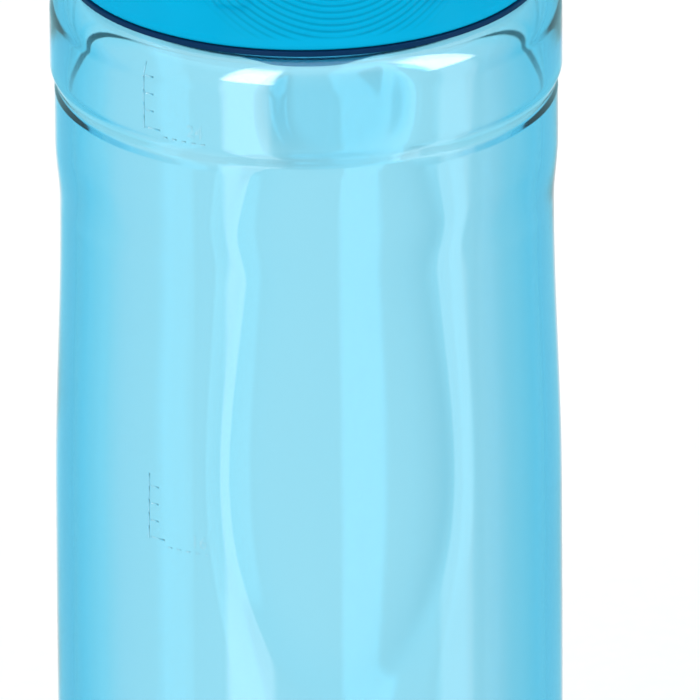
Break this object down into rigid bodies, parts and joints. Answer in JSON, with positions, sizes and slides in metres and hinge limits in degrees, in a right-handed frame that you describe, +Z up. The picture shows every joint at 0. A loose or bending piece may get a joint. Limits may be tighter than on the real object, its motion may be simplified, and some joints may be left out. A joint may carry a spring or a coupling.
{
  "type": "sports bottle",
  "caption": "Tall clear blue sports bottle with a grip oval and a collar, a screw lid with push button, flip cover over a drinking nozzle, and a carry loop.",
  "frame": {"origin": "centre of the foot ring on the surface that the bottle stands on", "axes": "+Z up along the bottle; the release button and the front grip oval face -Y; +X is to the right of a viewer in front"},
  "size_m": [0.073, 0.073, 0.256],
  "materials": {
    "clear_body": "clear tinted copolyester, polished",
    "lid_plastic": "glossy moulded polypropylene",
    "button_plastic": "satin moulded, ringed with fine ridges",
    "loop_plastic": "satin moulded",
    "insert_plastic": "fine satin moulded, navy",
    "housing_plastic": "frosted moulded",
    "slide_plastic": "low-friction moulded acetal",
    "nozzle_silicone": "soft milky silicone",
    "silicone": "soft white silicone",
    "steel": "bright drawn wire"
  },
  "bodies": {
    "bottle": {"bottle_body": "clear_body"},
    "gasket": {"cap_gasket": "silicone"},
    "cap": {"threaded_insert": "insert_plastic", "cap_shell": "lid_plastic", "valve_housing": "housing_plastic", "housing_seal": "silicone", "slit_valve": "silicone", "valve_retainer": "insert_plastic", "nozzle": "nozzle_silicone", "vent_valve": "silicone", "hinge_pin": "steel", "hinge_spring": "steel", "button_spring": "steel", "loop_pins": "steel"},
    "cover": {"flip_cover": "lid_plastic", "cover_plug": "silicone"},
    "button": {"release_button": "button_plastic", "latch_slide": "slide_plastic"},
    "loop": {"carry_loop": "loop_plastic"}
  },
  "joints": [
    {"name": "cap_lift", "type": "slide", "parent": "bottle", "child": "gasket", "axis": [0, 0, 1], "range_m": [0, 0.0401]},
    {"name": "cap_turn", "type": "hinge", "parent": "gasket", "child": "cap", "pos_m": [0, 0, 0.2126], "axis": [0, 0, 1], "range_deg": [0, 1200]},
    {"name": "cover_hinge", "type": "hinge", "parent": "cap", "child": "cover", "pos_m": [0, 0.021, 0.242], "axis": [-1, 0, 0], "range_deg": [0, 150], "deforming": ["hinge_spring"]},
    {"name": "button_press", "type": "slide", "parent": "cap", "child": "button", "axis": [0, 1, 0], "range_m": [0, 0.0025], "stiffness_N_per_m": 400, "springref_m": -0.001, "deforming": ["button_spring"]},
    {"name": "loop_swing", "type": "hinge", "parent": "cap", "child": "loop", "pos_m": [0, 0, 0.229], "axis": [1, 0, 0], "range_deg": [0, 100]}
  ],
  "couplings": [
    {"joint": "cap_lift", "follows": "cap_turn", "m_per_rad": 0.0019099}
  ]
}
